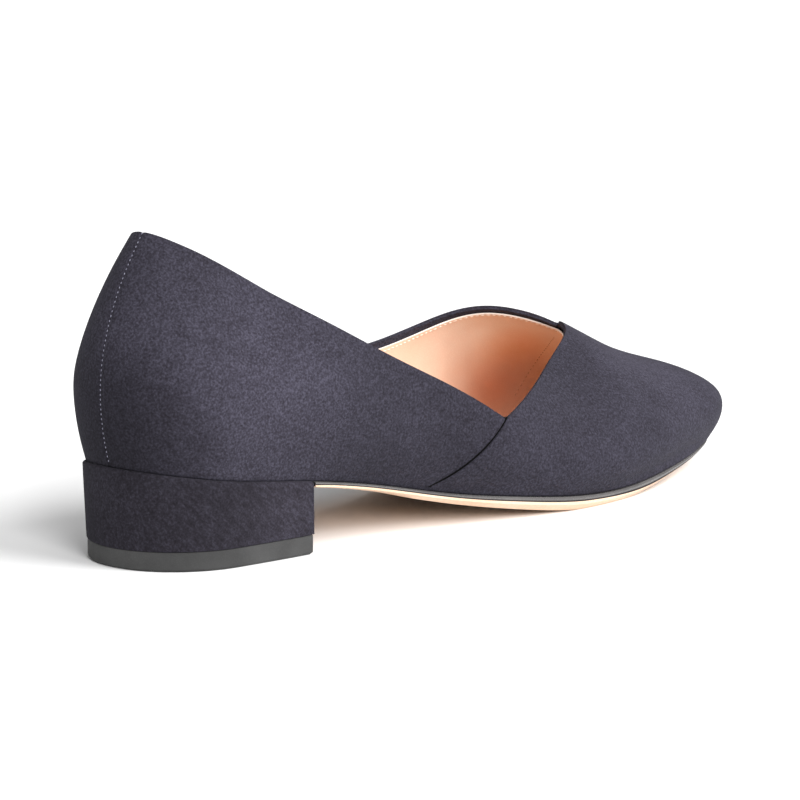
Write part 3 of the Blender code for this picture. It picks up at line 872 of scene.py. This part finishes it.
heelForm = {"levels": 2, "sharpest": 0.7, "radius": 0.22 * mm, "rise": 0.40 * mm}
topPieceForm = {"levels": 2, "sharpest": 0.5, "radius": 0.16 * mm, "rise": 0.25 * mm}
soleForm = {
    "levels": 2, "sharpest": 0.45, "radius": 0.12 * mm, "rise": 0.30 * mm,
    "upright": 0.25,          # faces that lean less than this are the standing edge
    "lineLift": 0.55,         # how far the bare leather reaches up into the burnished line
    "lineDrop": 0.9,          # and how far line and paint come down at the toe
    "paintDrop": 0.15,
    "taperFrom": 36 * mm,     # between these the paint comes to cover the whole standing edge
    "taperTo": 64 * mm,
}
sockForm = {"levels": 2, "sharpest": 0.6, "radius": 0.22 * mm}
topTilt = 0.3        # faces that look up more than this are a piece's top
bareLeather, paint, burnish, bevelLeather = range(4)        # the order of the sole's materials


def raiseTop(bm, rise):
    # the rim closes up to the wall above it
    bm.normal_update()
    for vert in {v for f in bm.faces if f.normal.z > topTilt for v in f.verts}:
        vert.co.z += rise - toeDrop(vert.co.x)


def makeHeel():
    bm = fourSidedCopy("heel_block")
    raiseTop(bm, heelForm["rise"])
    roundEdges(bm, heelForm["sharpest"], heelForm["radius"])
    return addPiece("heel_cover", bm, [heelSuede], heelForm["levels"], ["heel_block"])


def makeTopPiece():
    bm = fourSidedCopy("heel_top_piece")
    raiseTop(bm, topPieceForm["rise"])
    roundEdges(bm, topPieceForm["sharpest"], topPieceForm["radius"])
    return addPiece(
        "heel_top_piece_rubber", bm, [topPieceRubber], topPieceForm["levels"], ["heel_top_piece"]
    )


def standingFaces(bm):
    return {f for f in bm.faces if abs(f.normal.z) < soleForm["upright"]}


def sortSoleFaces(bm, form):
    # the standing edge has three rows: paint, the burnished line, and bare leather as on the bottom
    rows = {bareLeather: set(), paint: set(), burnish: set()}
    for face in bm.faces:
        tilts = [f.normal.z for e in face.edges for f in e.link_faces]
        if abs(face.normal.z) > form["upright"]:
            kind = paint if face.normal.z > 0 else bareLeather
        elif max(tilts) > form["upright"]:
            kind = paint
        elif min(tilts) < -form["upright"]:
            kind = bareLeather
        else:
            kind = burnish
        rows[kind].add(face)
    return rows


def taperPaint(rows, form):
    # towards the toe the paint and the line come down over the bare leather
    line = {v for f in rows[burnish] for v in f.verts}
    painted = {v for f in rows[paint] for v in f.verts}
    bare = {v for f in rows[bareLeather] for v in f.verts}
    moves = {}
    for vert in line.intersection(bare):
        near = [e.other_vert(vert) for e in vert.link_edges]
        above = next((v for v in near if v in painted), None)
        below = next((v for v in near if v not in line), None)
        if above and below:
            share = shareBetween(vert.co.x, form["taperFrom"], form["taperTo"])
            raised = vert.co.lerp(above.co, form["lineLift"])
            moves[vert] = raised.lerp(below.co, form["lineDrop"] * share)
            moves[above] = above.co.lerp(below.co, form["paintDrop"] * share)
    for vert, place in moves.items():
        vert.co = place


def makeOutsole():
    form = soleForm
    bm = fourSidedCopy("outsole")
    raiseTop(bm, form["rise"])
    bm.normal_update()
    for vert in bm.verts:
        aside = vert.normal * Vector((1, 1, 0))
        vert.co += aside.normalized() * toeForm["soleFull"] * toeFull(vert.co.x)
        vert.co.x -= toeTuck(vert.co.x)
    bm.normal_update()
    standing = standingFaces(bm)
    across = [e for e in bm.edges if standing.issuperset(e.link_faces)]
    bmesh.ops.subdivide_edges(bm, edges=across, cuts=2, use_grid_fill=True)
    bm.normal_update()
    rows = sortSoleFaces(bm, form)
    bevel = {f for face in standingFaces(bm) for e in face.edges for f in e.link_faces}
    taperPaint(rows, form)
    for kind, faces in rows.items():
        for face in faces:
            face.material_index = bevelLeather if kind == bareLeather and face in bevel else kind
    roundEdges(bm, form["sharpest"], form["radius"])
    materials = [soleLeather, soleEdgePaintAndHighlight, soleLine, soleBevel]
    return addPiece("outsole_leather", bm, materials, form["levels"], ["outsole"])


def makeSock():
    bm = fourSidedCopy("insole")
    roundEdges(bm, sockForm["sharpest"], sockForm["radius"])
    return addPiece("insole_sock", bm, [sockLeather], sockForm["levels"], ["insole"])


makeHeel()
makeTopPiece()
makeOutsole()
makeSock()
print("heel, sole and insole made")


# studio

cameraView = {
    "aim": (-6, 2, 32), "azimuth": -45.4, "elevation": 9.65, "distance": 1386,
    "lens": 217.0, "sensor": 36.0, "clipEnd": 50.0,
}
studio = {
    "ambient": 0.25, "floorSize": 12.0, "floorTone": 0.92, "floorRoughness": 0.9, "floorSpecular": 0.1,
}
lamps = [
    {"name": "keyLight", "azimuth": 22, "elevation": 40, "softness": 40, "power": 3.0},
    {"name": "frontLight", "azimuth": -26, "elevation": 26, "softness": 24, "power": 2.2},
    {"name": "topLight", "azimuth": 40, "elevation": 80, "softness": 100, "power": 1.0},
]


def towards(azimuth, elevation):
    turn = math.radians(azimuth)
    tip = math.radians(elevation)
    return Vector((math.sin(turn) * math.cos(tip), -math.cos(turn) * math.cos(tip), math.sin(tip)))


def makeCamera():
    back = towards(cameraView["azimuth"], cameraView["elevation"])
    data = bpy.data.cameras.new("camera")
    data.lens = cameraView["lens"]
    data.sensor_width = cameraView["sensor"]
    data.clip_end = cameraView["clipEnd"]
    camera = bpy.data.objects.new("camera", data)
    bpy.context.scene.collection.objects.link(camera)
    camera.location = (Vector(cameraView["aim"]) + back * cameraView["distance"]) * mm
    camera.rotation_euler = back.to_track_quat("Z", "Y").to_euler()
    bpy.context.scene.camera = camera


def makeLamp(lamp):
    data = bpy.data.lights.new(lamp["name"], "SUN")
    data.energy = lamp["power"]
    data.angle = math.radians(lamp["softness"])
    light = bpy.data.objects.new(lamp["name"], data)
    bpy.context.scene.collection.objects.link(light)
    light.rotation_euler = towards(lamp["azimuth"], lamp["elevation"]).to_track_quat("Z", "Y").to_euler()


def makeStudio():
    bm = bmesh.new()
    bmesh.ops.create_grid(bm, x_segments=1, y_segments=1, size=studio["floorSize"] / 2)
    mesh = bpy.data.meshes.new("floor")
    bm.to_mesh(mesh)
    bm.free()
    material, tree, shader = newMaterial("paleFloor")
    tone = studio["floorTone"]
    shader.inputs["Base Color"].default_value = (tone, tone, tone, 1.0)
    shader.inputs["Roughness"].default_value = studio["floorRoughness"]
    shader.inputs["Specular IOR Level"].default_value = studio["floorSpecular"]
    mesh.materials.append(material)
    floor = bpy.data.objects.new("floor", mesh)
    bpy.context.scene.collection.objects.link(floor)
    world = bpy.data.worlds.new("softRoom")
    world.use_nodes = True
    background = world.node_tree.nodes["Background"]
    background.inputs["Color"].default_value = (1.0, 1.0, 1.0, 1.0)
    background.inputs["Strength"].default_value = studio["ambient"]
    bpy.context.scene.world = world
    bpy.context.scene.view_settings.view_transform = "Standard"
    bpy.context.scene.view_settings.look = "None"


makeCamera()
for lamp in lamps:
    makeLamp(lamp)
makeStudio()
print("studio made")
